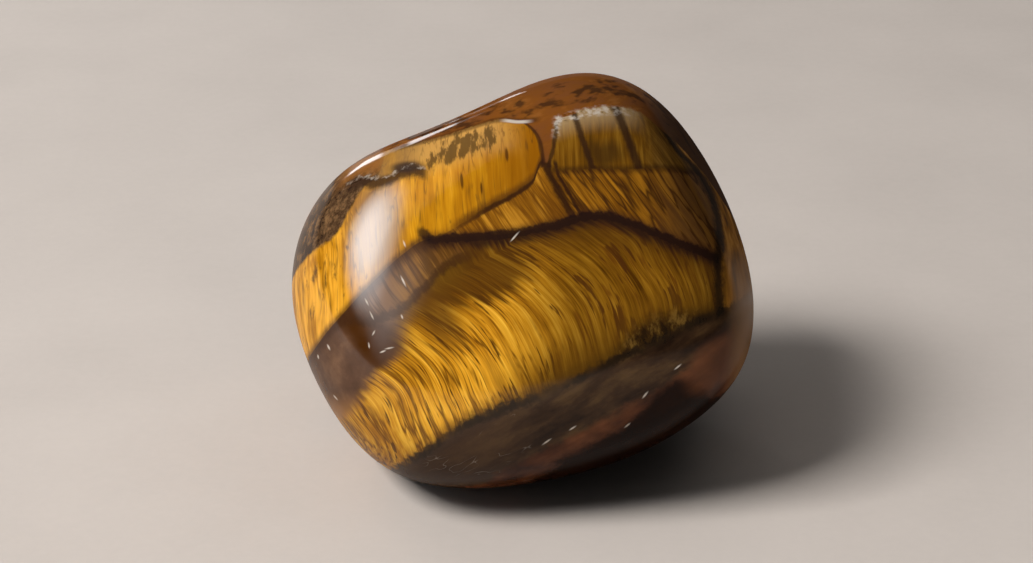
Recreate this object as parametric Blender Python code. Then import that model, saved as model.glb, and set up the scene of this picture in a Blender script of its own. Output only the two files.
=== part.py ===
"""A tumbled tiger's eye: one polished pebble of banded quartz, standing on its one flat spot.

The stone is built the way it came about. A broken block of rock has flat sides. Tumbling
rounds every edge and corner until one smooth skin runs all the way round. Here each side of the
block is a direction and a distance from the middle, and one formula rounds them all together.

Metres, +Z up. The origin is on the floor, under the middle of the stone's bounding box.
"""

import math

import bmesh
import bpy
from mathutils import Vector

MM = 0.001

# The sides of the broken block: the way each one faces, and how far it lies from the middle, in mm.
BLOCK_SIDES = {
    "top": ((-0.51, 0.27, 0.82), 21.3),
    "crown": ((-0.05, 0.06, 1.00), 16.0),
    "crown_right": ((0.85, -0.07, 0.53), 14.7),
    "upper_right": ((0.86, 0.20, 0.47), 16.2),
    "right_end": ((1.00, -0.04, -0.09), 16.5),
    "lower_right": ((0.62, -0.33, -0.71), 14.3),
    "front_underside": ((0.13, -0.65, -0.75), 14.0),
    "lower_left": ((-0.78, -0.36, -0.51), 15.3),
    "left_end": ((-1.00, 0.02, 0.05), 15.8),
    "upper_left": ((-0.72, 0.29, 0.63), 15.5),
    "front_left": ((-0.62, -0.65, 0.44), 15.4),
    "front": ((0.03, -0.96, 0.28), 11.6),
    "back": ((0.10, 0.99, 0.10), 12.0),
    "back_shoulder": ((0.05, 0.70, 0.71), 14.0),
    "back_underside": ((-0.15, 0.70, -0.70), 12.6),
    "foot": ((0.00, 0.00, -1.00), 12.6),
}
# How square the tumbled block stays: 2 is a ball, and a large number leaves sharp edges.
SQUARENESS = 7.0

# A shallow trough crosses the top from front to back, between the left shoulder and the crown.
TROUGH_ACROSS = (0.91, 0.18, 0.38)
TROUGH_UP = (-0.42, 0.38, 0.82)
TROUGH_DEPTH = 3.9
TROUGH_HALF_WIDTH = 0.66  # sine of the angle, seen from the middle

# Broad hollows that a finger finds on the sides: facing, depth in mm and width in degrees.
HOLLOWS = (
    ((-0.35, 0.92, 0.10), 0.7, 24.0),
    ((0.75, 0.60, -0.25), 0.5, 20.0),
    ((-0.90, -0.05, -0.40), 0.3, 16.0),
)

# The flat spot is cut at this depth below the middle, and corners this near the cut are moved onto it.
FOOT_DEPTH = 11.9
SNAP_TO_FOOT = 0.002

# Squares along each edge of the cube that is blown up into the stone.
CELLS = 22

STONE_COLOUR = (0.42, 0.20, 0.03, 1.0)
STONE_ROUGHNESS = 0.1


def clear_scene():
    for obj in list(bpy.data.objects):
        bpy.data.objects.remove(obj)


def rounded_block(direction):
    """How far the tumbled block reaches in a direction, in mm, before any hollow is worn in."""
    total = 0.0
    for facing, distance in BLOCK_SIDES.values():
        share = max(0.0, direction.dot(Vector(facing).normalized())) / distance
        total += share**SQUARENESS
    return total ** (-1.0 / SQUARENESS)


def trough(direction):
    across = direction.dot(Vector(TROUGH_ACROSS).normalized()) / TROUGH_HALF_WIDTH
    upward = max(0.0, direction.dot(Vector(TROUGH_UP).normalized()))
    return TROUGH_DEPTH * upward * upward * math.exp(-across * across)


def hollows(direction):
    worn = 0.0
    for facing, depth, width in HOLLOWS:
        away = math.degrees(direction.angle(Vector(facing))) / width
        worn += depth * math.exp(-away * away)
    return worn


def cube_blown_up():
    """A cube of even squares with every corner moved out to the stone's skin."""
    mesh = bmesh.new()
    bmesh.ops.create_cube(mesh, size=2.0)
    bmesh.ops.subdivide_edges(mesh, edges=mesh.edges[:], cuts=CELLS - 1, use_grid_fill=True)
    for vert in mesh.verts:
        # The tangent makes the squares near a cube's corner as large as those in the middle.
        direction = Vector([math.tan(c * math.pi / 4) for c in vert.co]).normalized()
        reach = rounded_block(direction) - trough(direction) - hollows(direction)
        vert.co = direction * reach * MM
    return mesh


def grind_foot(mesh):
    """Cuts the flat spot that the stone stands on, and closes it."""
    bmesh.ops.bisect_plane(
        mesh,
        geom=mesh.verts[:] + mesh.edges[:] + mesh.faces[:],
        dist=SNAP_TO_FOOT * MM,
        plane_co=(0.0, 0.0, -FOOT_DEPTH * MM),
        plane_no=(0.0, 0.0, -1.0),
        clear_outer=True,
    )
    rim = [edge for edge in mesh.edges if edge.is_boundary]
    bmesh.ops.edgeloop_fill(mesh, edges=rim)
    for vert in {v for edge in rim for v in edge.verts}:
        vert.co.z = -FOOT_DEPTH * MM
    bmesh.ops.recalc_face_normals(mesh, faces=mesh.faces[:])


def stand_on_origin(mesh):
    """Moves the stone so that the origin is under the middle of its box, on the floor."""
    lowest = Vector([min(v.co[i] for v in mesh.verts) for i in range(3)])
    highest = Vector([max(v.co[i] for v in mesh.verts) for i in range(3)])
    middle = (lowest + highest) / 2
    bmesh.ops.translate(mesh, verts=mesh.verts[:], vec=(-middle.x, -middle.y, -lowest.z))
    return middle, lowest, highest


def polished_quartz():
    material = bpy.data.materials.new("polished_tigers_eye")
    material.use_nodes = True
    surface = material.node_tree.nodes["Principled BSDF"]
    surface.inputs["Base Color"].default_value = STONE_COLOUR
    surface.inputs["Roughness"].default_value = STONE_ROUGHNESS
    surface.inputs["Metallic"].default_value = 0.0
    return material


def main():
    clear_scene()
    mesh = cube_blown_up()
    grind_foot(mesh)
    middle, lowest, highest = stand_on_origin(mesh)
    data = bpy.data.meshes.new("tumbled_stone")
    mesh.to_mesh(data)
    mesh.free()
    data.shade_smooth()
    data.set_sharp_from_angle(angle=math.radians(30))
    data.materials.append(polished_quartz())
    stone = bpy.data.objects.new("tumbled_stone", data)
    bpy.context.scene.collection.objects.link(stone)
    print("size in mm:", [round(c / MM, 2) for c in highest - lowest])
    print("the block's middle is at, in mm:", [round(-c / MM, 2) for c in (middle.x, middle.y, lowest.z)])


main()
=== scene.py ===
# %% [markdown]
# # A tumbled tiger's eye
#
# This notebook dresses one packed stone. The imported solid already has the right size and place, so
# everything here is about how the stone looks: its rounded skin, its golden bands, its dark veins and
# its polish. The solid is loaded first, and the size of its box is printed.

# %% Load the imported stone
import math

import bpy
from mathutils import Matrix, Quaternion, Vector


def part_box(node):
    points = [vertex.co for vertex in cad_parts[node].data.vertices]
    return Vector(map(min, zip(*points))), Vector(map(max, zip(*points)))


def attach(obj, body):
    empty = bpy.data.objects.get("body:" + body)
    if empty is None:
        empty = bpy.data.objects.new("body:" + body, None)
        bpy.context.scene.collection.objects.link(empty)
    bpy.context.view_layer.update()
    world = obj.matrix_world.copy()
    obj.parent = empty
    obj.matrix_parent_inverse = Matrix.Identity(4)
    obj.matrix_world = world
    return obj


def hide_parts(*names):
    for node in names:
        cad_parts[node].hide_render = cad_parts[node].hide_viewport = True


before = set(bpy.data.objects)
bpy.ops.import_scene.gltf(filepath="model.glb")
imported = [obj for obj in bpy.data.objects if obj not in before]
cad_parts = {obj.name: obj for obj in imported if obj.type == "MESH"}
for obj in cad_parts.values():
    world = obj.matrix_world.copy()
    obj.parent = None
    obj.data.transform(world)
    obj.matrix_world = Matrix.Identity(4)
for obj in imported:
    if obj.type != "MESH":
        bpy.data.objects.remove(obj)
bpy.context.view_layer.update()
low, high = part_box("tumbled_stone")
MM = 0.001
print("the packed stone measures, in mm:", [round(side / MM, 1) for side in high - low])

# %% [markdown]
# ## The camera
#
# A stone of 30 mm is looked at from close by, with a long lens, so that its near side doesn't swell.
# The camera looks down at 25 degrees. We place it by stepping back from the middle of the stone along
# the line of sight, and then a hair to the left, which puts the stone just right of the picture's middle.

# %% Place the camera
STONE_MIDDLE = Vector((-0.02, 0.61, 11.9)) * MM
LOOK_DOWN = math.radians(25)
CAMERA_DISTANCE = 186 * MM
LENS_MM = 100.3
LEFT_OF_STONE = 0.42 * MM

towards_camera = Vector((0, -math.cos(LOOK_DOWN), math.sin(LOOK_DOWN)))
bpy.ops.object.camera_add(
    location=STONE_MIDDLE + towards_camera * CAMERA_DISTANCE - Vector((LEFT_OF_STONE, 0, 0)),
    rotation=(math.radians(90) - LOOK_DOWN, 0, 0),
)
camera = bpy.context.object
camera.name = "stone_camera"
camera.data.lens = LENS_MM
camera.data.sensor_width = 36
camera.data.clip_start = 10 * MM
bpy.context.scene.camera = camera
print("camera at, in mm:", [round(c / MM, 1) for c in camera.location])

# %% [markdown]
# ## The stone's skin
#
# Tumbling wears a broken block until one smooth skin runs all the way round. We start from a cube,
# because a cube that is divided and blown up into a ball has even four-sided faces and no poles, and
# even faces give clean reflections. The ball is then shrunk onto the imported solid, relaxed a little,
# because the solid is made of small flat faces, and divided again until its skin is smooth.

# %% Blow a cube up into a ball of even squares
CUBE_SIDE = 24 * MM
BALL_CUTS = 27

bpy.ops.object.select_all(action="DESELECT")
bpy.ops.mesh.primitive_cube_add(size=CUBE_SIDE, location=STONE_MIDDLE)
stone = bpy.context.object
stone.name = "banded_pebble"
bpy.ops.object.mode_set(mode="EDIT")
bpy.ops.mesh.select_all(action="SELECT")
bpy.ops.mesh.subdivide(number_cuts=BALL_CUTS)
bpy.ops.transform.tosphere(value=1)
bpy.ops.object.mode_set(mode="OBJECT")
bpy.ops.object.transform_apply(location=True, rotation=True, scale=True)
print("the ball has", len(stone.data.polygons), "squares")

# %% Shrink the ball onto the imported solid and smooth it
def only(obj):
    """Selects one object and nothing else, because an operator acts on all that is selected."""
    bpy.ops.object.select_all(action="DESELECT")
    obj.select_set(True)
    bpy.context.view_layer.objects.active = obj


def apply_modifier(obj, kind, **settings):
    """Adds a modifier with these settings and applies it at once."""
    only(obj)
    modifier = obj.modifiers.new(kind.title(), kind)
    for name, value in settings.items():
        setattr(modifier, name, value)
    bpy.ops.object.modifier_apply(modifier=modifier.name)


SMOOTH_DIVISIONS = 2

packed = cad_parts["tumbled_stone"]
apply_modifier(stone, "SHRINKWRAP", target=packed, wrap_method="NEAREST_SURFACEPOINT")
apply_modifier(stone, "SMOOTH", factor=0.5, iterations=3)
apply_modifier(stone, "SUBSURF", levels=SMOOTH_DIVISIONS, render_levels=SMOOTH_DIVISIONS)
bpy.ops.object.shade_smooth()
print("the skin has", len(stone.data.polygons), "squares")

# %% [markdown]
# ## Writing a pattern as formulas
#
# The bands of tiger's eye aren't a picture on the skin: they run through the whole stone, and polishing
# only uncovers them. So the pattern is a solid one, worked out from each point's place in the stone.
# That takes many Math nodes. To keep it readable, a small class lets us write `a + b * 2` and adds the
# nodes for us.

# %% Formulas made of Math nodes
class Formula:
    """A socket that can be added, multiplied and faded as a number can."""

    def __init__(self, tree, socket):
        self.tree = tree
        self.socket = socket

    def math(self, operation, *others):
        """A Math node that takes this value first, and then the others."""
        node = add_node(self.tree, "ShaderNodeMath", operation=operation)
        for value, slot in zip((self, *others), node.inputs):
            plug(self.tree, value, slot)
        return Formula(self.tree, node.outputs[0])

    def __add__(self, other):
        return self.math("ADD", other)

    def __sub__(self, other):
        return self.math("SUBTRACT", other)

    def __mul__(self, other):
        return self.math("MULTIPLY", other)

    def size(self):
        """The value without its sign."""
        return self.math("ABSOLUTE")

    def least(self, other):
        """The smaller of the two."""
        return self.math("MINIMUM", other)

    def most(self, other):
        """The larger of the two, which also joins two masks into one."""
        return self.math("MAXIMUM", other)

    def opposite(self):
        """1 where it was 0, and 0 where it was 1."""
        return self * -1.0 + 1.0

    def fade(self, start, end):
        """0 at start and 1 at end, with a soft turn at both. End may be lower than start."""
        node = add_node(self.tree, "ShaderNodeMapRange", interpolation_type="SMOOTHSTEP")
        for value, slot in zip((self, start, end), node.inputs):
            plug(self.tree, value, slot)
        return Formula(self.tree, node.outputs[0])


def add_node(tree, kind, **settings):
    """Adds a node below the last one, or at the top of the next column."""
    place = len(tree.nodes)
    node = tree.nodes.new(kind)
    node.location = (200 * (place // 12), -190 * (place % 12))
    for name, value in settings.items():
        setattr(node, name, value)
    return node


def plug(tree, value, slot):
    """Links a Formula to a node's input, or writes a plain value into it."""
    if isinstance(value, Formula):
        tree.links.new(value.socket, slot)
    else:
        slot.default_value = value


print("Formula, add_node and plug are ready")

# %% [markdown]
# ## Points and noise
#
# A Noise Texture gives every point in space a soft random value, and nearly all that is irregular in a
# stone can be made from it. Enlarged it is a patch, squeezed it is a bundle of fibres, and added to a
# line it is a ragged edge. It reads a point, so we also need a way to join three numbers into one.

# %% Points and noise
def join(x, y, z):
    """One point from three numbers."""
    tree = x.tree
    point = add_node(tree, "ShaderNodeCombineXYZ")
    for value, slot in zip((x, y, z), point.inputs):
        plug(tree, value, slot)
    return Formula(tree, point.outputs[0])


def parts_of(tree, point):
    """The three numbers of a point."""
    split = add_node(tree, "ShaderNodeSeparateXYZ")
    tree.links.new(point, split.inputs[0])
    return [Formula(tree, split.outputs[axis]) for axis in "XYZ"]


def noise(x, y, z, detail=2.0, roughness=0.5):
    """Soft random values around 0, about one bump to each unit of x, y and z."""
    node = add_node(x.tree, "ShaderNodeTexNoise", noise_dimensions="3D")
    plug(x.tree, join(x, y, z), node.inputs["Vector"])
    node.inputs["Scale"].default_value = 1.0
    node.inputs["Detail"].default_value = detail
    node.inputs["Roughness"].default_value = roughness
    return Formula(x.tree, node.outputs[0]) - 0.5


print("join, parts_of and noise are ready")

# %% [markdown]
# ## The stone's own three directions
#
# Every line of the pattern is drawn in millimetres, as seen along the bands: `x` runs to the right, `y`
# rises and `deep` runs away from the eye. One Mapping node turns the object's coordinates into these.
# Nature never rules a straight line, so a slow noise pushes `x` and `y` a little. On the hidden side
# of the stone it pushes them by millimetres, so that the back isn't a mirror image of the front.
#
# Two more noises are made once and used all over: `grit` roughens every edge, and `patches` makes one
# part of a band a little lighter than the next.

# %% Set up the directions and let the bands drift
FRONT_DRIFT = 0.3
HIDDEN_DRIFT = 5.0

tigers_eye = bpy.data.materials.new("polished_tigers_eye")
tigers_eye.use_nodes = True
tree = tigers_eye.node_tree
surface = tree.nodes["Principled BSDF"]

middle = STONE_MIDDLE / MM
turn = add_node(tree, "ShaderNodeMapping", label="millimetres along the bands")
turn.inputs["Scale"].default_value = (1 / MM, 1 / MM, 1 / MM)
turn.inputs["Rotation"].default_value = (LOOK_DOWN, 0, 0)
turn.inputs["Location"].default_value = (
    -middle.x,
    -(middle.y * math.cos(LOOK_DOWN) - middle.z * math.sin(LOOK_DOWN)),
    -(middle.y * math.sin(LOOK_DOWN) + middle.z * math.cos(LOOK_DOWN)),
)
tree.links.new(add_node(tree, "ShaderNodeTexCoord").outputs["Object"], turn.inputs["Vector"])
right, deep, up = parts_of(tree, turn.outputs[0])

drift = deep.fade(2.5, 9.0) * HIDDEN_DRIFT + FRONT_DRIFT
x = right + noise(right * 0.3, deep * 0.2, up * 0.3, detail=0) * drift
y = up + noise(right * 0.3 + 31, deep * 0.2, up * 0.3, detail=0) * drift
flat = join(x, y, 0.0)
grit = noise(right * 3.0, deep * 3.0, up * 3.0, detail=3, roughness=0.65)
patches = noise(right * 0.55 + 7, deep * 0.55, up * 0.55, detail=2)
print("directions set up with", len(tree.nodes), "nodes")

# %% [markdown]
# ## Where the bands meet
#
# A geologist would sketch this stone as a few lines, and so do we. Each line below is a list of points
# in mm, and the height of a point above the line tells us on which side it lies. A band is then
# everything between two lines, and a vein is everything close to one.

# %% A smooth line through a few points
REACH = 16.0


def drawn(along, points):
    """A smooth line through a few points (along, height), all in mm and within REACH of the middle."""
    tree = along.tree
    curve = add_node(tree, "ShaderNodeFloatCurve")
    shape = curve.mapping.curves[0]
    spots = [((a + REACH) / (2 * REACH), (h + REACH) / (2 * REACH)) for a, h in points]
    shape.points[0].location = (0.0, spots[0][1])
    shape.points[1].location = (1.0, spots[-1][1])
    for spot in spots:
        shape.points.new(*spot)
    curve.mapping.update()
    plug(tree, (along + REACH) * (1 / (2 * REACH)), curve.inputs["Value"])
    return Formula(tree, curve.outputs[0]) * (2 * REACH) - REACH


print("drawn is ready, for lines up to", 2 * REACH, "mm long")

# %% Sketch the lines between the bands
MAIN_VEIN = [
    (-15.5, -6.9), (-13.1, -4.4), (-11.8, -2.8), (-10.5, -1.4), (-8.7, 0.45), (-7.3, 1.7), (-6.2, 2.45),
    (-5.0, 2.65), (-3.2, 2.7), (-1.1, 2.85), (1.0, 3.3), (2.2, 3.6), (3.4, 4.0), (4.4, 4.1), (5.3, 4.0),
    (6.5, 3.6), (7.7, 3.1), (9.5, 2.4), (10.8, 1.9), (11.8, 1.5), (15.5, 0.4),
]
JASPER_EDGE = [
    (-15.5, 1.2), (-14.3, 3.0), (-13.3, 4.9), (-12.2, 6.3), (-11.0, 7.3), (-9.6, 7.9), (-8.2, 8.2),
    (-6.3, 8.6), (-5.0, 8.9), (-3.2, 9.4), (-1.4, 9.85), (-0.2, 9.8), (1.0, 9.9), (2.2, 10.1), (3.2, 10.4),
    (5.3, 10.6), (7.2, 10.4), (8.5, 9.4), (9.8, 8.4), (11.0, 7.2), (15.5, 3.0),
]
GOLD_FOOT = [
    (-15.5, -15.6), (-9.0, -12.4), (-7.6, -11.4), (-5.7, -10.2), (-3.2, -8.5), (-1.4, -7.8), (0.4, -7.2),
    (2.3, -6.4), (4.7, -5.3), (7.1, -4.1), (10.8, -2.4), (12.4, -1.8), (15.5, -0.6),
]

above_vein = y - drawn(x, MAIN_VEIN)
above_foot = y - drawn(x, GOLD_FOOT)
above_rim = y - drawn(x, JASPER_EDGE)
below_vein = above_vein.fade(0.0, -0.2)
print("the main vein, the jasper's edge and the foot of the gold are sketched")

# %% [markdown]
# ## The main band of gold
#
# The gold comes from thousands of parallel fibres of old crocidolite, turned to quartz. `run` counts the
# fibres as we cross them, so a noise that is squeezed along `run` and stretched the other way is a
# bundle of fibres. A straight count would give straight fibres. In this band they bow as they rise, so
# `run` is pushed by the square and the cube of the height above the band's lower left.

# %% Bow the fibres of the main band
BAND_TILT = math.radians(30)
BAND_START = 7.2
BOW_HEIGHT = 9.5

along = x * math.cos(BAND_TILT) + y * math.sin(BAND_TILT)
height = y * math.cos(BAND_TILT) - x * math.sin(BAND_TILT) + BAND_START
rise = height.least(BOW_HEIGHT).most(-2.0)
bow = rise * rise * (rise * 0.0026 + 0.0275) - rise * 0.37
run = along + bow + noise(right * 0.35, deep * 0.5, up * 0.35, detail=0) * 0.5
fibres = noise(run * 5.0, height * 0.12, deep, detail=3, roughness=0.75)
strands = noise(run * 2.1 + 17, height * 0.10, deep * 0.6, detail=2)
print("fibres bowed with", len(tree.nodes), "nodes so far")

# %% [markdown]
# ## Gold that turns to olive
#
# Tiger's eye is bright only where its fibres lie across the light, and the same fibres look olive where
# they turn away. A real fibre would need a special shader for that. Here that sheen is painted into the
# colour instead: one ramp of golds and one of olives read the same fibres, a large soft blot gives the
# painted bright patch, and painted shade turns the gold to olive outside it and towards the right. A
# painted patch looks the same in every program that the model goes to.
#
# `shades` is such a ramp, `blot` is an oval mask with soft edges, and `paint` lays one colour over
# another through a mask, as a stencil does.

# %% Ramps, blots and paint
def shades(value, *stops):
    """A run of colours. Each stop is a place from 0 to 1 and a colour."""
    ramp = add_node(value.tree, "ShaderNodeValToRGB")
    plug(value.tree, value, ramp.inputs[0])
    elements = ramp.color_ramp.elements
    for element, (place, colour) in zip(elements, (stops[0], stops[-1])):
        element.position = place
        element.color = (*colour, 1)
    for place, colour in stops[1:-1]:
        elements.new(place).color = (*colour, 1)
    return Formula(value.tree, ramp.outputs[0])


def blot(point, middle, half_length, half_width, degrees=0.0, soft=0.4):
    """1 in an oval and 0 outside it. Soft is the part of the radius over which it fades."""
    tree = point.tree
    own = add_node(tree, "ShaderNodeMapping", vector_type="TEXTURE")
    plug(tree, point, own.inputs["Vector"])
    own.inputs["Location"].default_value = (*middle, 0)
    own.inputs["Rotation"].default_value = (0, 0, math.radians(degrees))
    own.inputs["Scale"].default_value = (half_length, half_width, 1)
    radius = add_node(tree, "ShaderNodeVectorMath", operation="LENGTH")
    tree.links.new(own.outputs[0], radius.inputs[0])
    return Formula(tree, radius.outputs["Value"]).fade(1 + soft, 1 - soft)


MIX_COLOUR_A = 6
MIX_COLOUR_B = 7
MIXED_COLOUR = 2


def paint(under, over, mask):
    """Lays the second colour over the first where the mask is 1. A colour is a triple or a Formula."""
    mix = add_node(mask.tree, "ShaderNodeMix", data_type="RGBA")
    plug(mask.tree, mask, mix.inputs["Factor"])
    for value, slot in ((under, MIX_COLOUR_A), (over, MIX_COLOUR_B)):
        plug(mask.tree, value if isinstance(value, Formula) else (*value, 1.0), mix.inputs[slot])
    return Formula(mask.tree, mix.outputs[MIXED_COLOUR])


print("shades, blot and paint are ready")

# %% Lay gold over olive
tone = fibres * 1.5 + strands + patches * 0.35 + 0.5
gold = shades(tone, (0.08, (0.15, 0.050, 0.003)), (0.3, (0.38, 0.150, 0.007)),
              (0.52, (0.62, 0.27, 0.012)), (0.92, (0.93, 0.52, 0.050)))
olive = shades(tone, (0.1, (0.050, 0.018, 0.001)), (0.4, (0.12, 0.050, 0.003)),
               (0.65, (0.18, 0.080, 0.005)), (0.95, (0.30, 0.145, 0.012)))
# Painted sheen: the gold is bright inside this blot, and outside it and towards the right it is painted
# olive shade.
lit = blot(flat, (-2.2, -4.9), 6.5, 3.2, 32, soft=0.8)
painted_olive_shade = (x.fade(-3.0, 3.8) * 0.9).most(lit.opposite() * 0.5)
colour = paint(gold, olive, painted_olive_shade)
# Painted highlight: a brighter gold in the middle of the sheen.
painted_sheen_peak = blot(flat, (-1.5, -5.6), 2.8, 1.3, 30, soft=0.8)
painted_sheen_peak = painted_sheen_peak.most(blot(flat, (-4.9, -8.2), 1.9, 0.9, 35, soft=0.8))
colour = paint(colour, (0.95, 0.48, 0.035), painted_sheen_peak * 0.3)
print("gold and olive laid")

# %% [markdown]
# ## Brown threads and dashes
#
# Some fibres kept their iron, and these are the thin brown threads. Wherever a stretched noise passes
# through zero it leaves a long thin line, so the threads cost no more than one noise. The dashes are
# the tops of another noise, which is squeezed more, so that they stay short.

# %% Draw the threads and the dashes
def line(distance, reach, core=0.0):
    """1 on a line and 0 past its reach, from a distance to either side of it."""
    return distance.size().fade(reach, core)


THREAD_BROWN = (0.10, 0.032, 0.003)
DASH_BROWN = (0.060, 0.018, 0.003)

at_left = x.fade(-1.0, -5.0)
thread_places = (noise(height * 0.5, run * 0.7, deep) + at_left * 0.1).fade(-0.15, 0.1)
threads = line(strands, at_left * 0.02 + 0.05) * thread_places
dashes = noise(run * 3.6 + 5, height * 0.28, deep, detail=2, roughness=0.6) + patches * 0.45
dashes = dashes + above_vein.fade(-6.0, -1.5) * 0.07
colour = paint(colour, THREAD_BROWN, threads * 0.85)
colour = paint(colour, DASH_BROWN, dashes.fade(0.12, 0.2) * 0.85)
print("threads and dashes drawn")

# %% [markdown]
# ## Shade along the edges of the gold
#
# Near a vein and along the foot of the gold the fibres darken to brown, partly as a stain and partly as
# painted shade of the sheen, and the darkening ends fibre by fibre, in a ragged edge. `ends` is a noise
# that changes from fibre to fibre but hardly along one, so adding it to the distance from a line gives
# just such an edge. The line of shade at the left is an old crack that has healed.

# %% Find the places of the stains
SHADE_LINE = [
    (-13.0, -3.8), (-11.0, -2.4), (-9.0, -2.3), (-7.6, -1.7), (-6.2, -0.5), (-4.6, 1.0), (-2.6, 1.7),
    (0.0, 2.4),
]

ends = noise(run * 2.4 + 40, height * 0.1, deep) * 3.0
over_shade = y - drawn(x, SHADE_LINE) + ends * 0.25
dark_patch = blot(join(x, y + ends, 0.0), (-2.7, 0.2), 3.2, 1.5, 10, soft=0.35)
under_shade = over_shade.fade(-2.4, -0.3) * x.fade(-2.5, -4.5)
under_vein = (above_vein + ends * 0.4).fade(-2.8, -0.2)
wide_foot = (above_foot + ends * 0.3).fade(3.8, 0.4) * x.fade(-3.5, 2.5)
narrow_foot = (above_foot + ends * 0.25 + grit * 0.6).fade(1.2, 0.0) * x.fade(-8.5, -4.0)
beside_haze = blot(join(x, y + ends * 0.5, 0.0), (-5.3, -2.0), 2.0, 1.1, -50, soft=0.6)
print("places of the stains found")

# %% Stain and shade the fibres
# Partly painted shade: the dark patch, and the brown under the vein and along the foot of the gold.
colour = paint(colour, (0.070, 0.025, 0.003), dark_patch * 0.85)
colour = paint(colour, (0.11, 0.050, 0.005), under_shade * 0.8)
colour = paint(colour, (0.080, 0.030, 0.005), beside_haze * 0.8)
colour = paint(colour, (0.055, 0.020, 0.003), under_vein * 0.8)
colour = paint(colour, (0.075, 0.032, 0.003), wide_foot * 0.75)
colour = paint(colour, (0.060, 0.026, 0.003), narrow_foot * 0.85)
print("edges of the gold stained")

# %% [markdown]
# ## Masks that wait for their turn
#
# The renderer works out every mask as early as it can and keeps it until its paint is laid. It has room
# for 255 numbers at a time, and a pattern as large as this one can run out of room, which turns the
# whole stone black. So here are x and y once more, with a millionth of the last stain added. A mask
# that reads them has to wait for that stain, and fewer masks are kept at once.

# %% Let the later masks wait
A_TRIFLE = 0.000001

later_x = x + beside_haze * A_TRIFLE
later_y = y + beside_haze * A_TRIFLE
print("x and y set up for the later masks")

# %% [markdown]
# ## The swirl in the right corner
#
# In the lower right corner of the gold the fibres were still soft when the rock moved, and they curled
# into a dark swirl. A noise with more detail, read along the fibres, is enough for it.

# %% Curl the fibres in the right corner
SWIRL_TOP = [(3.5, -8.0), (5.0, -5.2), (6.3, -3.4), (7.5, -2.5), (9.0, -2.0), (10.5, -2.0), (12.0, -2.2)]

in_swirl = (drawn(later_x, SWIRL_TOP) - y + grit * 0.8 + ends * 0.3).fade(-0.7, 0.5)
in_swirl = in_swirl * later_x.fade(4.5, 7.0)
curls = noise(run * 1.6 + 3, height * 0.9, deep, detail=4, roughness=0.7) * 3.2 + 0.48
swirl = shades(curls, (0.2, (0.008, 0.004, 0.002)), (0.5, (0.030, 0.014, 0.003)),
               (0.9, (0.13, 0.070, 0.014)))
colour = paint(colour, swirl, in_swirl * 0.9)
print("swirl curled, with", len(tree.nodes), "nodes so far")

# %% [markdown]
# ## The shield
#
# Above the main vein the stone broke and healed again several times. The biggest piece is shaped like
# a shield, and its fibres stand upright. Its right end is painted a darker amber, painted shade where
# the sheen turns away from the light, its top is dulled by weathering, and the greyer patch under the
# crust at the left is a painted haze where the glow card is mirrored. `lean` does for it what `run` does
# for the main band.

# %% Stand the fibres of the shield upright
lean = x + y * 0.06 + noise(right * 0.5, deep, up * 0.5, detail=0) * 0.2
broad = noise(lean * 0.9, y * 0.3, deep * 0.6)
upright = noise(lean * 4.6, y * 0.22, deep, detail=3, roughness=0.65) * 1.1 + broad * 0.9 + 0.5
shield = shades(upright, (0.1, (0.20, 0.075, 0.003)), (0.35, (0.36, 0.145, 0.004)),
                (0.6, (0.47, 0.205, 0.006)), (0.95, (0.68, 0.34, 0.025)))
bright_end = later_x.fade(-9.5, -12.5) * upright.fade(0.3, 0.7)
dull_top = above_rim.fade(-2.6, -0.8) * later_x.fade(-9.0, -6.0) * later_x.fade(0.5, -2.5)
# Painted haze: a greyer patch on the left shoulder, where the glow card is mirrored.
painted_glow_haze = blot(flat, (-9.2, 3.2), 3.0, 1.6, 78, soft=0.5)
shield = paint(shield, (0.75, 0.36, 0.04), bright_end * 0.6)
# Painted shade: the right end of the shield darkens to amber, away from the light.
shield = paint(shield, (0.16, 0.050, 0.001), later_x.fade(-5.5, 1.0) * 0.85)
shield = paint(shield, (0.40, 0.215, 0.058), dull_top * 0.8)
print("shield made")

# %% [markdown]
# ## Spots and marks on the shield
#
# Specks of iron oxide sit along the top of the shield and at its left end. One noise makes specks
# everywhere, and two blots raise it over the threshold only where the stone has them. Three single
# marks are drawn one by one, because one feature in the right place does more than many at random.

# %% Speck the shield
upright_threads = line(noise(lean * 1.9 + 3, y * 0.1, deep * 0.6), 0.035) * patches.fade(-0.2, 0.1)
specks = noise(lean * 2.4 + 11, y * 0.75, deep, detail=3, roughness=0.6)
at_end = blot(flat, (-11.6, 0.6), 3.4, 2.0, 50, soft=0.6)
at_top = blot(flat, (-3.6, 8.2), 2.6, 0.8, 22, soft=0.6)
specks = (specks + (at_end * 0.14).most(at_top * 0.33)).fade(0.16, 0.34)
marks = blot(flat, (-1.1, 7.7), 0.42, 0.1, 95).most(blot(flat, (-3.75, 6.1), 0.5, 0.09, 95))
marks = marks.most(blot(flat, (-2.6, 5.6), 0.35, 0.06, 95))
shield = paint(shield, (0.035, 0.018, 0.007), (upright_threads * 0.6).most(specks * 0.8))
shield = paint(shield, (0.05, 0.015, 0.003), marks * 0.85)
# Lays the painted haze under the mirrored glow.
shield = paint(shield, (0.15, 0.095, 0.060), painted_glow_haze * 0.8)
print("shield specked, with", len(tree.nodes), "nodes so far")

# %% [markdown]
# ## The wedge and the triangle
#
# Two pieces lie between the shield and the main vein, and their fibres slant. They are one bundle that
# a crack has split, so both read the same noise, each through its own ramp of colours.

# %% Slant the fibres of the wedge and the triangle
SLANT = 0.727

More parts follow.
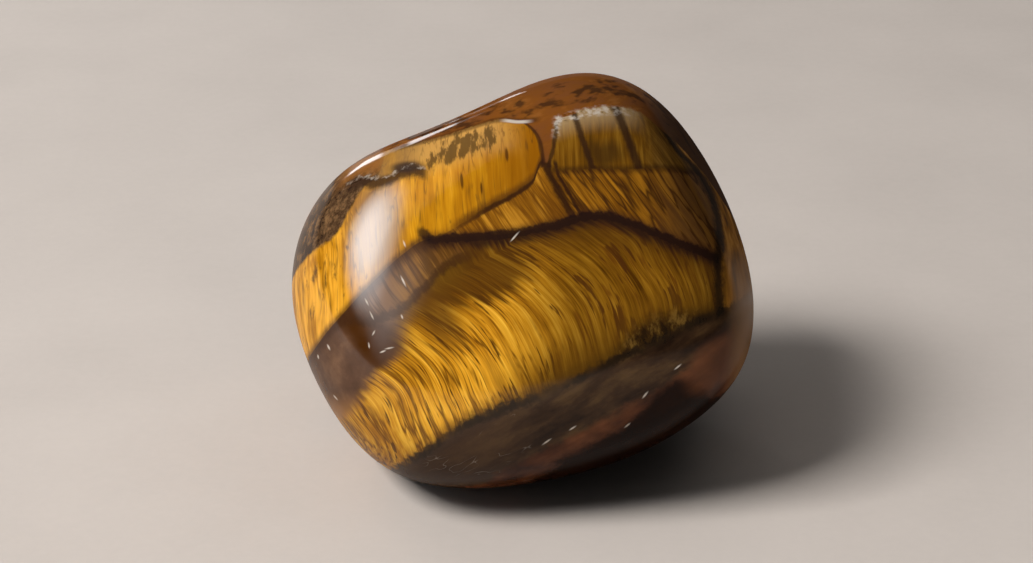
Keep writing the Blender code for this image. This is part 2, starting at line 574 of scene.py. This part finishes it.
slant = x + y * SLANT + noise(right * 0.5, deep, up * 0.5 + 9, detail=0) * 0.15
down_slant = y - x * SLANT
slant_strands = noise(slant * 1.4, down_slant * 0.15, deep * 0.6)
slanted = noise(slant * 4.2, down_slant * 0.2, deep, detail=3, roughness=0.65) * 1.3
slanted = slanted + slant_strands * 1.1 + 0.5
wedge = shades(slanted, (0.2, (0.09, 0.030, 0.003)), (0.5, (0.22, 0.085, 0.005)),
               (0.85, (0.46, 0.21, 0.018)))
triangle = shades(slanted, (0.2, (0.06, 0.019, 0.003)), (0.5, (0.17, 0.064, 0.004)),
                  (0.85, (0.36, 0.15, 0.009)))
slanted_threads = line(slant_strands, 0.065)
wedge = paint(wedge, (0.08, 0.025, 0.003), slanted_threads * 0.6)
triangle = paint(triangle, (0.10, 0.045, 0.012), later_x.fade(6.5, 10.5) * 0.75)
triangle = paint(triangle, (0.035, 0.012, 0.003), slanted_threads * 0.85)
print("wedge and triangle made")

# %% [markdown]
# ## The block
#
# The block is the piece at the upper right, and two dark cracks cross it. Its top is pale where the skin
# was ground rough, and its right end runs out in dark olive fibres.

# %% Make the block and its two cracks
block_fibres = noise(lean * 4.6 + 60, y * 0.2, deep, detail=3, roughness=0.6) * 1.2 + broad * 0.6 + 0.5
block = shades(block_fibres, (0.2, (0.058, 0.023, 0.002)), (0.5, (0.125, 0.050, 0.003)),
               (0.85, (0.22, 0.105, 0.009)))
pale_top = above_rim.fade(-1.8, -0.2) * later_x.fade(8.0, 6.0)
block_shade = blot(join(x, y + broad, 0.0), (4.9, 7.7), 1.1, 0.75, soft=0.6)
leaning = x + (y - 8.5) * 0.36 + grit * 0.2
cracks = line(leaning - 3.65, 0.32, 0.08).most(line(leaning - 6.35, 0.45, 0.12))
olive_end = shades(slanted, (0.2, (0.034, 0.015, 0.003)), (0.5, (0.105, 0.048, 0.007)),
                   (0.8, (0.18, 0.088, 0.014)))
block = paint(block, (0.30, 0.21, 0.11), pale_top * 0.65)
block = paint(block, (0.035, 0.015, 0.003), block_shade * 0.75)
block = paint(block, (0.022, 0.009, 0.004), cracks * 0.85)
block = paint(block, olive_end, (x + grit * 0.8).fade(6.8, 8.6) * 0.9)
print("block made, with", len(tree.nodes), "nodes so far")

# %% [markdown]
# ## Set the upper bands side by side
#
# Now the pieces are laid one over another, each inside its own lines, as a marquetry maker would. Then
# the seams between them are darkened, because iron stained every crack before it healed.

# %% Lay the pieces
BROWN_LINE = [
    (-15.5, -8.0), (-8.7, -1.5), (-7.1, 0.2), (-5.9, 1.9), (-5.0, 2.75), (-4.4, 3.1), (-2.0, 4.5),
    (-0.2, 5.5), (0.6, 6.1), (1.05, 7.2),
]
FORK_LINE = [(3.0, 3.4), (4.1, 2.9), (5.5, 2.15), (6.6, 1.55), (7.3, 1.4), (10.0, 1.5)]
TRIANGLE_TOP = 6.65

below_brown = drawn(later_x, BROWN_LINE) - y
past_fork = x - drawn(later_y, FORK_LINE)
over_triangle = y - x * 0.02 - TRIANGLE_TOP
upper = paint(shield, wedge, (below_brown + grit * 0.2).fade(-0.05, 0.05))
upper = paint(upper, triangle, past_fork.fade(-0.05, 0.05))
upper = paint(upper, block, past_fork.fade(-0.05, 0.05) * (over_triangle + grit * 0.2).fade(-0.1, 0.1))
colour = paint(colour, upper, above_vein.fade(-0.05, 0.05))
print("shield, wedge, triangle and block laid")

# %% Darken the seams
BROWN_STAIN = (0.075, 0.026, 0.004)
BLACK_STAIN = (0.022, 0.008, 0.003)

rough_brown = below_brown + grit * 0.3
before_fork = past_fork.fade(0.1, -0.1)
brown_seam = rough_brown.fade(-0.75, -0.1) * rough_brown.fade(0.35, 0.15)
brown_seam = brown_seam * later_x.fade(-5.2, -3.5) * later_x.fade(1.5, 1.2) * before_fork
seam_core = line(rough_brown - 0.05, 0.25, 0.05) * later_x.fade(-4.0, -2.0) * before_fork
fork_seam = line(past_fork + grit * 0.3, 0.4, 0.1).most(line(past_fork - 0.55 + grit * 0.2, 0.2, 0.05))
ledge = line(over_triangle + grit * 0.25, 0.4, 0.05) * past_fork.fade(0.0, 0.3)
black_seams = (seam_core * 0.8).most(fork_seam * later_y.fade(7.5, 7.1) * 0.9).most(ledge * 0.6)
colour = paint(colour, BROWN_STAIN, brown_seam * above_vein.fade(0.0, 0.1) * 0.85)
colour = paint(colour, BLACK_STAIN, black_seams * above_vein.fade(0.0, 0.1))
print("seams darkened, with", len(tree.nodes), "nodes so far")

# %% [markdown]
# ## Haze at the left
#
# At the left end the gold is buried under a thin layer of clear quartz with iron in it, so it looks
# hazy and red-brown. The haze is mauve near the top, and that mauve is partly a painted reflection of
# the glow's tail. It is brown with a few gold and dark strands along the vein, and warmer towards the
# foot. A dark wedge with one sharp side lies in it.

# %% Mix the haze
haze = shades(patches * 1.1 + grit * 0.4 + 0.5,
              (0.1, (0.046, 0.018, 0.007)), (0.5, (0.076, 0.034, 0.016)), (0.9, (0.14, 0.070, 0.034)))
over_shade_softly = over_shade.fade(-0.8, 0.9)
gold_strands = later_x.fade(-8.8, -6.2) * (fibres + strands).fade(-0.1, 0.3)
dark_strands = line(strands + fibres * 0.3, 0.09, 0.02) * over_shade_softly
# Mauve near the top: partly a painted reflection of the tail of the mirrored glow.
haze = paint(haze, (0.15, 0.075, 0.038), over_shade_softly * later_x.fade(-11.5, -8.8) * 0.8)
haze = paint(haze, (0.135, 0.054, 0.009), over_shade_softly * later_x.fade(-9.4, -7.2) * 0.9)
haze = paint(haze, (0.32, 0.14, 0.020), over_shade_softly * gold_strands * 0.7)
haze = paint(haze, (0.035, 0.013, 0.003), dark_strands * 0.6)
haze = paint(haze, (0.36, 0.15, 0.03), later_y.fade(-6.5, -9.0) * 0.7)
print("haze mixed")

# %% Lay the haze and its dark wedge
GOLD_LEFT = [
    (-9.5, -13.3), (-8.3, -10.9), (-6.7, -9.7), (-5.6, -8.9), (-5.0, -8.1), (-4.1, -7.1), (-2.3, -7.4),
    (-1.0, -7.2), (0.2, -6.6), (2.0, -5.6), (3.0, -5.0),
]

past_left = x - drawn(later_y, GOLD_LEFT) + ends * 0.25 + grit * 0.3
in_haze = past_left.fade(0.7, -0.7).most(over_shade.fade(-0.5, 0.6) * later_x.fade(-3.0, -4.5))
in_haze = in_haze * (above_vein + grit * 0.5).fade(0.3, -0.5)
in_haze = in_haze * (later_x.fade(-9.0, -6.5) * -0.3 + 1.0)
dark_wedge = blot(flat, (-9.2, -3.4), 2.4, 1.2, -48, soft=0.35) * in_haze
healed_crack = line(over_shade + grit * 0.7, 0.55, 0.12) * later_x.fade(-2.0, -4.5) * below_vein
colour = paint(colour, haze, in_haze)
colour = paint(colour, (0.048, 0.015, 0.002), dark_wedge * (patches * -1.2 + grit * 0.6 + 0.82))
colour = paint(colour, (0.035, 0.013, 0.004), healed_crack * 0.7)
print("haze laid, with", len(tree.nodes), "nodes so far")

# %% [markdown]
# ## The veins
#
# The main vein is iron oxide in a crack that runs across the whole stone. It has a soft brown stain on both
# sides, a black core, and teeth below it, where the iron crept down between the fibres. Its left end
# stops in a small knob, and only a thin crack goes on. A second vein comes down at the right, and the
# gold past it is browner.

# %% Draw the main vein
VEIN_BLACK = (0.012, 0.005, 0.004)

stain = line(above_vein + grit * 0.5, 1.1, 0.25) * above_vein.fade(0.7, 0.1)
core = line(above_vein + 0.08 + grit * 0.5, 0.42, 0.18)
knob = blot(join(x, y + grit * 0.4, 0.0), (-6.0, 2.85), 0.55, 0.35, -40, soft=0.4)
creep = noise(run * 4.0, 3.0, deep, detail=2) * 1.6
teeth = above_vein.fade(0.1, -0.1) * (above_vein + creep).fade(-0.9, -0.3)
colour = paint(colour, (0.050, 0.018, 0.006), stain * 0.6)
thin_at_left = later_x.fade(-6.4, -5.6) * 0.65 + 0.25
colour = paint(colour, VEIN_BLACK, core.most(teeth * 0.8) * thin_at_left)
colour = paint(colour, VEIN_BLACK, knob * 0.85)
print("main vein drawn")

# %% Draw the right vein and the gold past it
RIGHT_VEIN = [
    (-4.0, 12.6), (-2.4, 12.1), (-0.6, 12.0), (1.5, 12.0), (3.2, 12.1), (5.1, 11.9), (6.7, 11.1), (9.0, 9.0),
]

past_right = x - drawn(y, RIGHT_VEIN)
edge_gold = shades(noise(along * 0.5, past_right * 2.2, deep * 0.4, detail=3) * 1.8 + 0.5,
                   (0.2, (0.10, 0.040, 0.004)), (0.5, (0.30, 0.120, 0.010)), (0.8, (0.52, 0.23, 0.035)))
colour = paint(colour, edge_gold, (past_right + grit * 0.3).fade(-0.1, 0.5) * 0.9)
colour = paint(colour, (0.012, 0.006, 0.003), line(past_right + grit * 0.6, 0.55, 0.1) * 0.85)
print("right vein drawn, with", len(tree.nodes), "nodes so far")

# %% [markdown]
# ## Under the gold: smoke, jasper and ironstone
#
# The lowest layers are dark: smoky quartz first, then a stripe of red-brown jasper, and black ironstone
# at the foot. The quartz and the jasper are cut from one layered noise, so that their streaks run on
# from one to the other. The right end has a lump of jasper, and a paler band along its right edge is a
# painted sheen.

# %% Lay the smoky quartz
below = above_foot + grit * 0.8 + ends * 0.15
layers = noise(along * 0.22, height * 0.9, deep * 0.4, detail=4, roughness=0.6)
smoke = shades(layers * 2.2 + grit * 0.3 + 0.5,
               (0.15, (0.013, 0.006, 0.003)), (0.5, (0.033, 0.016, 0.007)), (0.85, (0.070, 0.037, 0.014)))
smoke = paint(smoke, (0.065, 0.034, 0.018), later_x.fade(2.0, -3.5) * 0.5)
colour = paint(colour, smoke, below.fade(0.35, -0.35))
colour = paint(colour, (0.010, 0.006, 0.003), line(below, 0.5, 0.1) * patches.fade(-0.25, 0.05) * 0.85)
print("smoky quartz laid")

# %% Lay the jasper stripe, the jasper lump and the ironstone
STRIPE_TOP = [
    (-15.5, -16.0), (-3.3, -12.8), (-0.2, -11.2), (2.3, -9.8), (5.9, -7.9), (8.4, -6.5), (10.8, -5.0),
    (13.8, -3.0), (15.5, -2.0),
]
STRIPE_FOOT = [
    (-3.3, -15.5), (0.0, -13.0), (2.0, -11.4), (4.0, -10.2), (6.0, -9.0), (7.2, -7.9), (8.6, -6.5),
    (10.0, -6.1), (12.0, -7.0), (15.5, -7.6),
]

jasper = shades(layers * 1.2 + patches * 1.2 + 0.5,
                (0.15, (0.030, 0.009, 0.003)), (0.5, (0.080, 0.024, 0.008)), (0.85, (0.15, 0.05, 0.018)))
stripe = (drawn(later_x, STRIPE_TOP) - y + grit * 0.5 + patches * 1.2).fade(-0.3, 0.3)
ironstone = (drawn(later_x, STRIPE_FOOT) - y + grit * 0.6 + patches * 1.5).fade(-0.4, 0.4)
lump = blot(flat, (12.0, -4.9), 2.3, 1.3, 42, soft=0.4)
colour = paint(colour, jasper, stripe * 0.9)
colour = paint(colour, (0.006, 0.002, 0.001), ironstone * 0.92)
colour = paint(colour, paint(jasper, (0.13, 0.048, 0.018), lump * 0.55), lump * below.fade(0.3, -0.3))
# Painted sheen: a paler band along the stone's right edge.
colour = paint(colour, (0.29, 0.145, 0.055), later_x.fade(12.2, 13.8) * later_y.fade(3.0, 0.5) * 0.75)
print("jasper and ironstone laid, with", len(tree.nodes), "nodes so far")

# %% [markdown]
# ## The crust on the left shoulder
#
# On the left shoulder a rough black crust was never ground away, and a crack runs from it into the
# shield. The crust is a strong fine noise, rusty where it meets the jasper.

# %% Lay the crust and its crack
CRUST_FOOT = [
    (-15.5, -0.8), (-14.2, 0.7), (-13.0, 1.9), (-11.7, 2.8), (-10.8, 4.2), (-9.8, 5.7), (-9.0, 6.4),
    (-8.4, 8.2),
]
CRUST_CRACK = [
    (-12.0, 4.2), (-11.0, 5.6), (-10.2, 6.1), (-9.3, 6.0), (-8.2, 6.2), (-7.5, 6.6), (-6.2, 6.7),
    (-5.4, 6.2),
]

crust = shades(noise(right * 1.6, deep * 1.6, up * 1.6, detail=4, roughness=0.7) * 2.0 + 0.5,
               (0.2, (0.020, 0.010, 0.005)), (0.5, (0.055, 0.028, 0.012)), (0.85, (0.16, 0.085, 0.035)))
rusty = (above_rim + grit * 1.2).fade(-1.9, -0.7) * later_x.fade(-12.2, -10.6)
in_crust = (y - drawn(later_x, CRUST_FOOT) + grit * 0.4).fade(-0.1, 0.25) * later_x.fade(-8.2, -9.2)
in_crust = in_crust * above_vein.fade(0.0, 0.3)
over_crack = y - drawn(later_x, CRUST_CRACK) + grit * 0.4
along_crack = later_x.fade(-11.5, -10.6) * later_x.fade(-5.6, -6.2)
brown_skin = over_crack.fade(-0.1, 0.5) * later_x.fade(-5.4, -7.6) * later_x.fade(-11.5, -10.6)
colour = paint(colour, (0.16, 0.090, 0.035), brown_skin * (patches * 0.8 + 0.7))
colour = paint(colour, paint(crust, (0.22, 0.085, 0.018), rusty * 0.85), in_crust)
colour = paint(colour, (0.030, 0.014, 0.007), line(over_crack, 0.6, 0.15) * along_crack * 0.9)
colour = paint(colour, (0.030, 0.018, 0.013), blot(flat, (-7.2, 7.0), 1.0, 0.35, 5, soft=0.5) * 0.9)
print("crust laid")

# %% [markdown]
# ## The jasper cap
#
# The top and the back are orange-brown jasper, an opaque quartz full of iron. A fork of it reaches down
# between the shield and the block. A broken row of dark dashes crosses it, and the right end is
# nearly black.

# %% Shade the cap and its dashes
DASH_LINE = [
    (-6.0, 9.4), (-1.0, 10.5), (1.2, 10.9), (3.4, 11.4), (4.9, 11.9), (7.4, 11.6), (8.6, 10.8),
    (12.0, 8.0),
]

cap_layers = noise(along * 0.35 + 8, height * 1.1, deep * 0.4, detail=4, roughness=0.6)
cap = shades(cap_layers * 1.4 + patches * 0.6 + 0.55,
             (0.12, (0.032, 0.012, 0.004)), (0.32, (0.13, 0.043, 0.011)),
             (0.6, (0.14, 0.045, 0.007)), (0.9, (0.20, 0.074, 0.015)))
over_dashes = y - drawn(x, DASH_LINE)
row_of_dashes = noise(x + 3, over_dashes * 2.2 + 7, deep * 0.5, detail=2)
row_of_dashes = row_of_dashes + line(over_dashes, 1.2, 0.1) * 0.22
cap = paint(cap, (0.036, 0.014, 0.004), (x + grit).fade(6.6, 9.5) * 0.8)
cap = paint(cap, (0.025, 0.010, 0.004), row_of_dashes.fade(0.16, 0.34) * 0.8)
print("cap shaded")

# %% Lay the cap with its fork
FORK_LEFT = [(6.0, 1.0), (7.2, 1.2), (7.7, 1.12), (8.6, 0.95), (9.3, 0.55), (9.8, -0.1), (10.4, -1.5)]
FORK_RIGHT = [(6.0, 1.4), (7.2, 1.45), (8.0, 1.65), (9.0, 1.8), (9.8, 1.95), (10.4, 3.3)]

past_fork_left = x - drawn(later_y, FORK_LEFT)
past_fork_right = x - drawn(later_y, FORK_RIGHT)
in_fork = (past_fork_left + grit * 0.15).fade(-0.03, 0.06)
in_fork = in_fork * (past_fork_right + grit * 0.15).fade(0.06, -0.03)
in_cap = (above_rim + grit * 0.3).fade(-0.05, 0.1).most(in_fork * later_y.fade(7.1, 7.3))
rim_line = line(above_rim, 0.25, 0.05) * later_x.fade(1.2, 0.6) * later_x.fade(-9.0, -7.0)
fork_line = past_fork_left.size().least((past_fork_right - 0.15 + grit * 0.2).size())
fork_line = fork_line.most((y - 8.4).size() - 1.4).fade(0.2, 0.05)
colour = paint(colour, cap, in_cap)
colour = paint(colour, (0.025, 0.009, 0.004), (rim_line * 0.6).most(fork_line * 0.8))
print("cap laid, with", len(tree.nodes), "nodes so far")

# %% [markdown]
# ## Frosted edges
#
# Where hard quartz meets softer jasper, tumbling chips the edge, and the tiny chips look like white
# frost. The frost follows the lines that are already drawn, and a noise breaks it up. A thin pale line
# along the shield's top edge is a painted glint, and it is laid and dulled together with the frost.

# %% Frost the edges
def between(value, low, high, soft):
    """1 from low to high and 0 past them, with soft as half of the fade's length."""
    return value.fade(low - soft, low + soft) * value.fade(high + soft, high - soft)


chips = noise(right * 2.2 + 2, deep * 2.2, up * 3.0, detail=2, roughness=0.6)
block_top = line(above_rim + 0.22 + grit * 0.4, 0.44, 0.12) * later_x.fade(1.6, 2.1) * later_x.fade(7.6, 4.5)
fork_edge = line(past_fork_right - 0.15 + grit * 0.4, 0.35, 0.08) * between(later_y, 8.9, 10.2, 0.3)
# Painted glint: a thin pale line along the top edge of the shield.
shield_glint_line = line(above_rim + 0.05, 0.14, 0.04) * between(later_x, -1.2, 0.35, 0.4)
crack_edge = line(over_crack - 0.3 + grit * 0.4, 0.16, 0.02) * along_crack
chipped = block_top.most(fork_edge)
frost_and_glint = (chipped.most(crack_edge * 0.5) * chips.fade(-0.12, 0.22)).most(shield_glint_line)
colour = paint(colour, (0.42, 0.37, 0.31), frost_and_glint * 0.85)
colour = paint(colour, (0.020, 0.012, 0.008), chipped * chips.fade(-0.10, -0.24) * 0.7)
print("edges frosted")

# %% [markdown]
# ## Scratches
#
# A polished stone that has been handled shows a few short white scratches. Each is a very thin blot with a
# place, a length and an angle. Finer hairlines over the dark layers come from a noise, as the threads did.

# %% Scratch the polish
SCRATCHES = [
    (-7.3, 0.0, 0.38, 115), (-7.4, -2.1, 0.16, 110), (-9.4, -3.9, 0.2, 100), (-8.5, -4.3, 0.22, 20),
    (-9.5, -1.2, 0.25, 120), (-12.0, -4.1, 0.22, 115), (-12.7, -4.7, 0.16, 100), (-11.7, -7.2, 0.22, 130),
    (-0.5, 2.7, 0.42, 48), (9.4, -5.2, 0.3, 40), (7.4, -6.9, 0.28, 50), (3.0, -9.0, 0.28, 35),
    (1.4, -9.9, 0.35, 35), (-7.3, 2.3, 0.25, 110), (6.4, -8.8, 0.25, 45),
    (-9.2, -2.0, 0.3, 115), (-9.1, -3.1, 0.2, 60), (-8.1, -4.1, 0.3, 10),
]
SCRATCH_WIDTH = 0.045

hairs = line(noise(along * 0.35 + 50, height * 1.6, deep * 0.9, detail=1), 0.010)
scuffs = hairs * patches.fade(0.02, 0.14) * below.fade(0.0, -1.0) * later_x.fade(1.5, -0.5) * 0.3
for right_by, up_by, length, angle in SCRATCHES:
    scuffs = scuffs.most(blot(flat, (right_by, up_by), length * 0.75, SCRATCH_WIDTH, angle, soft=0.7))
scuffs = scuffs * deep.fade(2.0, -2.0)
colour = paint(colour, (0.55, 0.48, 0.40), scuffs * (grit + 1.0) * 0.8)
plug(tree, colour, surface.inputs["Base Color"])
print(len(SCRATCHES), "scratches drawn, with", len(tree.nodes), "nodes in all")

# %% [markdown]
# ## The polish
#
# Tumbled quartz has a wet-looking polish. The Principled shader's coat is a clear layer over the colour, so
# the plain specular is switched off and the coat does all the shining. Frost, the painted glint, scratches
# and the dips in the rim are dull, so they take most of the coat away. A real stone is a little rough where
# it turns edge-on, and its dark upper right was ground less, so the coat is thinner there too.

# %% Coat the stone
COAT = 0.5

edge_on = Formula(tree, add_node(tree, "ShaderNodeLayerWeight").outputs["Facing"]).fade(0.45, 0.9)
dips = between(later_x, -8.9, -7.1, 0.25).most(between(later_x, -4.1, -1.4, 0.25))
dips = dips.most(between(later_x, -12.0, -10.9, 0.2))
dull = frost_and_glint.most(scuffs).most(dips * above_rim.fade(-1.6, -1.0)) * 0.85
upper_right = later_x.fade(-7.0, 1.0) * later_y.fade(-2.5, 0.5)
coat = (edge_on * (upper_right * -0.25 - 0.17) + COAT) * dull.opposite()
coat = coat * (later_x.fade(6.0, 10.0) * later_y.fade(0.0, 2.5) * 0.75).opposite()
coat = coat * (below.fade(0.0, -1.0) * 0.4).opposite() * (ironstone * 0.4).opposite()
plug(tree, coat, surface.inputs["Coat Weight"])
plug(tree, frost_and_glint.most(scuffs) * 0.4 + 0.4, surface.inputs["Roughness"])
surface.inputs["Specular IOR Level"].default_value = 0.0
surface.inputs["Coat Roughness"].default_value = 0.07
surface.inputs["Coat IOR"].default_value = 1.55
stone.data.materials.append(tigers_eye)
print("the stone is coated")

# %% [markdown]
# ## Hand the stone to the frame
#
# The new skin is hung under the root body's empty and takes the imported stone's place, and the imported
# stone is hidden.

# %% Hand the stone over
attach(stone, "root")
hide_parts("tumbled_stone")
print("handed over:", stone.name)

# %% [markdown]
# ## The floor
#
# The stone stands on a wide pale slab, as smooth as cast concrete. Its colour wanders by a few
# hundredths, so that it doesn't look like paper.

# %% Lay the floor
FLOOR_RADIUS = 1.5
CLOUDS_PER_MM = 0.08
GRAINS_PER_MM = 1.2

bpy.ops.object.select_all(action="DESELECT")
bpy.ops.mesh.primitive_circle_add(vertices=96, radius=FLOOR_RADIUS, fill_type="NGON", location=(0, 0, 0))
floor = bpy.context.object
floor.name = "studio_floor"
pale_slab = bpy.data.materials.new("pale_slab")
pale_slab.use_nodes = True
slab = pale_slab.node_tree
slab_surface = slab.nodes["Principled BSDF"]
floor_right, floor_back, floor_up = parts_of(slab, add_node(slab, "ShaderNodeTexCoord").outputs["Object"])
clouds = noise(floor_right * (CLOUDS_PER_MM / MM), floor_back * (CLOUDS_PER_MM / MM), floor_up)
grain_right = floor_right * (GRAINS_PER_MM / MM)
grain_back = floor_back * (GRAINS_PER_MM / MM)
grain = noise(grain_right, grain_back, floor_up, detail=3, roughness=0.7)
concrete = shades((clouds + grain * 0.5) * 0.7 + 0.5,
                  (0.0, (0.42, 0.371, 0.334)), (1.0, (0.52, 0.461, 0.415)))
plug(slab, concrete, slab_surface.inputs["Base Color"])
slab_surface.inputs["Roughness"].default_value = 0.8
floor.data.materials.append(pale_slab)
print("floor laid,", 2 * FLOOR_RADIUS, "m across")

# %% [markdown]
# ## The main light
#
# A large softbox, high on the left and a little in front, throws the soft shadow to the right, and a wide
# weak one overhead lightens it. A glossy stone mirrors every lamp, so these two are hidden from
# reflections, and the lamps of the next two cells make the reflections.

# %% Hang the key and the fill
AIM_HEIGHT = 12


def add_softbox(name, position, width, height, watts, roll=0):
    """An area light at a place in mm, turned to face the stone and then rolled by some degrees."""
    bpy.ops.object.light_add(type="AREA", location=Vector(position) * MM)
    light = bpy.context.object
    light.name = name
    light.data.shape = "RECTANGLE"
    light.data.size = width * MM
    light.data.size_y = height * MM
    light.data.energy = watts
    facing = (light.location - Vector((0, 0, AIM_HEIGHT)) * MM).to_track_quat("Z", "Y")
    light.rotation_euler = (facing @ Quaternion((0, 0, 1), math.radians(roll))).to_euler()
    light.visible_camera = False
    return light


key = add_softbox("key_softbox", (-339, -229, 451), 250, 180, 5.4)
fill = add_softbox("overhead_fill", (0, 0, 900), 1200, 1200, 1.7)
key.visible_glossy = False
fill.visible_glossy = False
print("key and fill hung")

# %% [markdown]
# ## The glow on the shoulder
#
# The bright glow on the left shoulder is a window mirrored in the polish, and a small card lower down
# gives it a faint tail. A card that is equally bright all over would leave a hard edge, so its light
# fades from the middle out. An area light's Parametric coordinates run from 0 to 1 across it, and a
# blot in its middle makes that fade. The blot ends at GLOW_RADIUS * (1 + GLOW_SOFT), just past 0.5,
# which is the card's edge.

# %% Hang the glowing cards
GLOW_RADIUS = 0.275
GLOW_SOFT = 0.82


def add_glow(name, position, width, height, watts, roll=0):
    """A softbox that is seen in the polish only, and fades from its middle out."""
    card = add_softbox(name, position, width, height, watts, roll)
    card.visible_diffuse = False
    card.data.use_nodes = True
    glow = card.data.node_tree
    on_card = Formula(glow, add_node(glow, "ShaderNodeNewGeometry").outputs["Parametric"])
    fall = blot(on_card, (0.5, 0.5), GLOW_RADIUS, GLOW_RADIUS, soft=GLOW_SOFT)
    plug(glow, fall, glow.nodes["Emission"].inputs["Strength"])


add_glow("gloss_card", (-415, -160, 268), 720, 350, 19.5, roll=-20)
add_glow("tail_card", (-210, -320, 125), 260, 260, 0.8)
print("glowing cards hung")

# %% [markdown]
# ## The line along the rim and the air of the room
#
# A tall narrow lamp behind the stone draws the thin white line along the upper rim, and a small one
# beside it lights the line's right end. The world behind everything is a dim warm grey, as a room's
# walls would be.

# %% Hang the back lamps and fill the room
ROOM_STRENGTH = 0.05

add_softbox("back_strip", (-106, 276, 55), 36, 110, 0.10)
add_softbox("back_spark", (-50, 295, 30), 24, 24, 0.02)
room = bpy.data.worlds.new("studio_room")
bpy.context.scene.world = room
room.use_nodes = True
room.node_tree.nodes["Background"].inputs["Color"].default_value = (0.8, 0.78, 0.76, 1)
room.node_tree.nodes["Background"].inputs["Strength"].default_value = ROOM_STRENGTH
bpy.context.scene.view_settings.view_transform = "Standard"
print("lamps in all:", len(bpy.data.lights))
